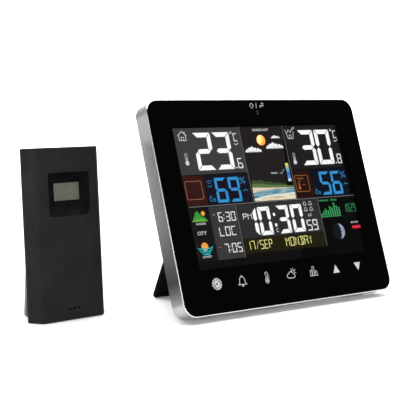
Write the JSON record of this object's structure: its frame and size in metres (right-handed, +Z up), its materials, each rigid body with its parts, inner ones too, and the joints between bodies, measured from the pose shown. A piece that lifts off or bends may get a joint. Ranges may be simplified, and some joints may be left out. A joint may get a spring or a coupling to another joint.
{
  "type": "home weather station",
  "caption": "Colour-display home weather station leaning on a fold-out stand, with touch keys, beside its wireless outdoor temperature and humidity sensor.",
  "frame": {"origin": "on the table, in the middle of the ground covered by the console and the sensor", "axes": "+Z up, +X to the right as seen from the front, +Y away from the person looking at the display"},
  "size_m": [0.2858, 0.0931, 0.1515],
  "materials": {
    "silver_frame": "brushed along its edge, polished front chamfer",
    "black_glass": "glossy, black behind except over the display",
    "display": "lit colour display",
    "light_guide": "frosted clear",
    "white_plastic": "moulded",
    "circuit_board": "green solder mask",
    "copper": "bare",
    "chip": "moulded",
    "tin_can": "tinned",
    "black_plastic": "fine spark texture",
    "screw_steel": "blackened",
    "cell_jacket": "printed jacket, plain",
    "contact_steel": "nickel plated",
    "black_rubber": "matt",
    "sensor_plastic": "fine spark texture",
    "window_gloss": "glossy black window",
    "small_display": "grey-green passive display",
    "grey_plastic": "satin grey"
  },
  "bodies": {
    "console": {"middle_frame": "silver_frame", "front_glass": "black_glass", "display_panel": "display", "backlight_panel": "light_guide", "display_holder": "white_plastic", "touch_key_board": "circuit_board", "touch_key_pads": "copper", "main_circuit_board": "circuit_board", "controller_chip": "chip", "radio_receiver": "tin_can", "indoor_sensor_element": "chip", "buzzer": "chip", "dc_power_socket": "black_plastic", "back_cover": "black_plastic", "cover_screws": "screw_steel", "console_batteries": "cell_jacket", "console_contact_springs": "contact_steel", "console_contact_plates": "contact_steel", "rubber_feet": "black_rubber", "stand_hinge_pins": "screw_steel"},
    "stand": {"console_stand": "black_plastic"},
    "battery_door": {"console_battery_door": "black_plastic"},
    "outdoor_sensor": {"sensor_front_shell": "sensor_plastic", "sensor_window": "window_gloss", "sensor_display": "small_display", "sensor_circuit_board": "circuit_board", "sensor_chip": "chip", "sensor_antenna": "copper", "sensor_probe": "white_plastic", "sensor_back_cover": "sensor_plastic", "sensor_batteries": "cell_jacket", "sensor_contact_springs": "contact_steel", "sensor_contact_plates": "contact_steel", "sensor_screws": "screw_steel", "sensor_stand_pins": "screw_steel"},
    "outdoor_sensor_stand": {"sensor_stand": "grey_plastic"},
    "outdoor_sensor_door": {"sensor_battery_door": "sensor_plastic"}
  },
  "joints": [
    {"name": "stand_fold", "type": "hinge", "parent": "console", "child": "stand", "pos_m": [0.0421, 0.00729, 0.08285], "axis": [1, 0, 0], "range_deg": [-44.94, 0]},
    {"name": "battery_door_slide", "type": "slide", "parent": "console", "child": "battery_door", "axis": [0, 0.342, 0.9397], "range_m": [0, 0.045]},
    {"name": "sensor_carry", "type": "slide", "parent": "console", "child": "outdoor_sensor", "axis": [-1, 0, 0], "range_m": [0, 0.15]},
    {"name": "sensor_stand_fold", "type": "hinge", "parent": "outdoor_sensor", "child": "outdoor_sensor_stand", "pos_m": [-0.1121, 0.03903, 0.07806], "axis": [0.9967, 0.0809, 0], "range_deg": [-8.4, 32]},
    {"name": "sensor_door_slide", "type": "slide", "parent": "outdoor_sensor", "child": "outdoor_sensor_door", "axis": [0.0069, -0.0851, -0.9963], "range_m": [0, 0.058]}
  ]
}
